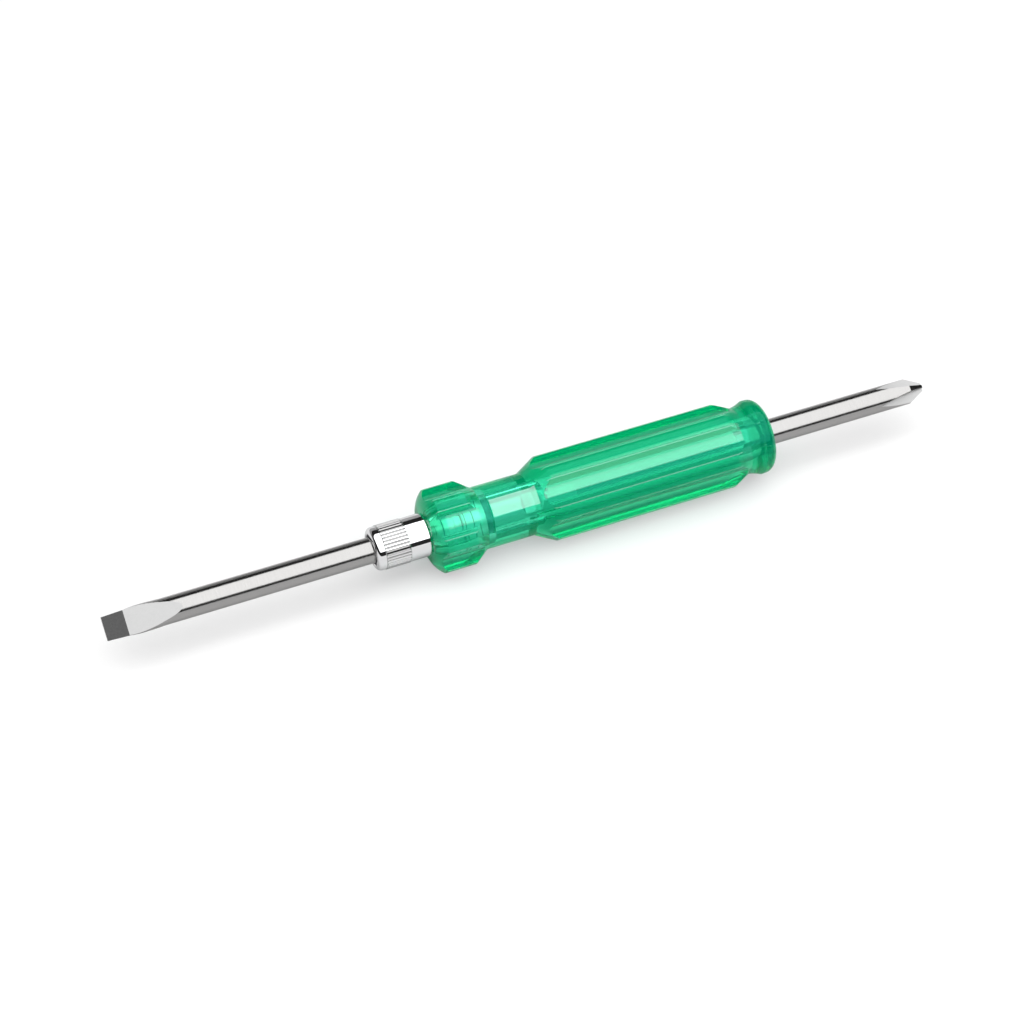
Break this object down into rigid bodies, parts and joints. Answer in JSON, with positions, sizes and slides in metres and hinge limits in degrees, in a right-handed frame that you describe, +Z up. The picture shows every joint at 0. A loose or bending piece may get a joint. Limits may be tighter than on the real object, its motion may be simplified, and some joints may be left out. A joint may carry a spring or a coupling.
{
  "type": "reversible two-in-one screwdriver",
  "caption": "Straight screwdriver with a fluted clear green handle and a knurled chuck nut that clamps a reversible slotted and cross-tip blade running right through.",
  "frame": {"origin": "under the middle of the blade, on the surface that the grip lies on", "axes": "+X along the blade from the slotted tip to the cross tip, +Z up from the surface"},
  "size_m": [0.2, 0.0194, 0.0198],
  "materials": {
    "acetate": "clear emerald green, polished",
    "chrome_nut": "bright chrome plate",
    "blade_steel": "satin, ground flats at the slotted tip with a dark end band",
    "sleeve_steel": "turned, bright",
    "collet_steel": "turned and slit"
  },
  "bodies": {
    "handle": {"handle": "acetate", "chuck_sleeve": "sleeve_steel"},
    "collet": {"collet": "collet_steel"},
    "chuck_nut": {"chuck_nut": "chrome_nut"},
    "blade": {"blade": "blade_steel"}
  },
  "joints": [
    {"name": "collet_travel", "type": "slide", "parent": "handle", "child": "collet", "axis": [-1, 0, 0], "range_m": [0, 0.0005]},
    {"name": "nut_turn", "type": "hinge", "parent": "collet", "child": "chuck_nut", "pos_m": [-0.033, 0, 0.0099], "axis": [-1, 0, 0], "range_deg": [0, 180]},
    {"name": "blade_slide", "type": "slide", "parent": "handle", "child": "blade", "axis": [-1, 0, 0], "range_m": [0, 0.14]}
  ],
  "couplings": [
    {"joint": "nut_turn", "follows": "collet_travel", "rad_per_m": 6283}
  ]
}
